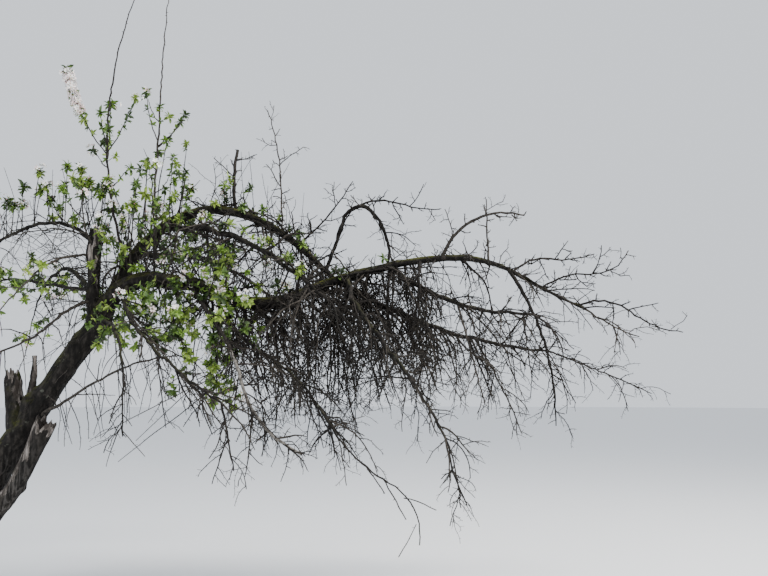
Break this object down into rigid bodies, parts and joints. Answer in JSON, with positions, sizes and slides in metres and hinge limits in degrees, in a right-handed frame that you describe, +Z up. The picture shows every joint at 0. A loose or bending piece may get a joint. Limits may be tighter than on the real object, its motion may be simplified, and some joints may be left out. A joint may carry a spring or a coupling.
{
  "type": "half-dead quince tree",
  "caption": "Old leaning quince tree with long arching boughs, a hanging tangle of bare dead twigs, and leafy, blossoming shoots round its fork.",
  "frame": {"origin": "middle of the trunk's flat cut foot, at ground level", "axes": "+Z up, +X level and the way the trunk leans and the long boughs reach, +Y level, away from the side seen in the picture"},
  "size_m": [5.9607, 2.8548, 4.6486],
  "materials": {
    "bark": "rough dark grey-brown bark with moss on its upper side",
    "weathered_wood": "bare dead wood, weathered pale grey",
    "bare_twigs": "dull grey-brown dead twigs",
    "leafy_shoots": "fresh yellow-green young leaves",
    "blossom": "matt white petals flushed with pink"
  },
  "bodies": {
    "root": {"trunk": "bark", "main_bough_1": "bark", "main_bough_2": "bark", "main_bough_3": "bark", "arch_bough_1": "bark", "arch_bough_2": "bark", "snag": "weathered_wood", "broken_stem": "weathered_wood", "split_stub": "weathered_wood", "under_arch_bough": "bark", "hook_bough_1": "bark", "hook_bough_2": "bark", "low_middle_bough": "bark", "low_far_bough": "bark", "front_hanging_bough": "bark", "front_long_bough": "bark", "left_bough": "bark", "back_right_bough": "bark", "back_left_bough": "bark", "front_right_bough": "bark", "front_left_bough": "bark", "tip_low_twigs": "bare_twigs", "tip_high_twigs": "bare_twigs", "ridge_right_twigs": "bare_twigs", "ridge_middle_twigs": "bare_twigs", "upright_twigs": "bare_twigs", "small_arch_twigs": "bare_twigs", "steep_hang_twigs": "bare_twigs", "low_middle_tip_twigs": "bare_twigs", "low_far_tip_twigs": "bare_twigs", "under_middle_twigs": "bare_twigs", "under_far_twigs": "bare_twigs", "front_hanging_tip_twigs": "bare_twigs", "front_long_tip_twigs": "bare_twigs", "pale_hanging_twigs": "bare_twigs", "hook_tip_twigs": "bare_twigs", "hook_fan_twigs": "bare_twigs", "under_arch_tip_twigs": "bare_twigs", "arch_sprig_twigs": "bare_twigs", "curtain_inner_twigs": "bare_twigs", "curtain_middle_twigs": "bare_twigs", "curtain_outer_twigs": "bare_twigs", "back_right_tip_twigs": "bare_twigs", "front_right_tip_twigs": "bare_twigs", "front_left_tip_twigs": "bare_twigs", "tall_stub_twigs": "bare_twigs", "whip_twigs": "bare_twigs", "left_tip_shoots": "leafy_shoots", "left_back_shoots": "leafy_shoots", "left_front_shoots": "leafy_shoots", "left_low_shoots": "leafy_shoots", "low_branch_shoots": "leafy_shoots", "back_left_tip_shoots": "leafy_shoots", "shoot_left": "leafy_shoots", "shoot_right": "leafy_shoots", "snag_top_shoots": "leafy_shoots", "fork_shoots": "leafy_shoots", "arch_shoots": "leafy_shoots", "leaf_column_shoots": "leafy_shoots", "fork_leaf_shoots": "leafy_shoots"}
  },
  "joints": []
}
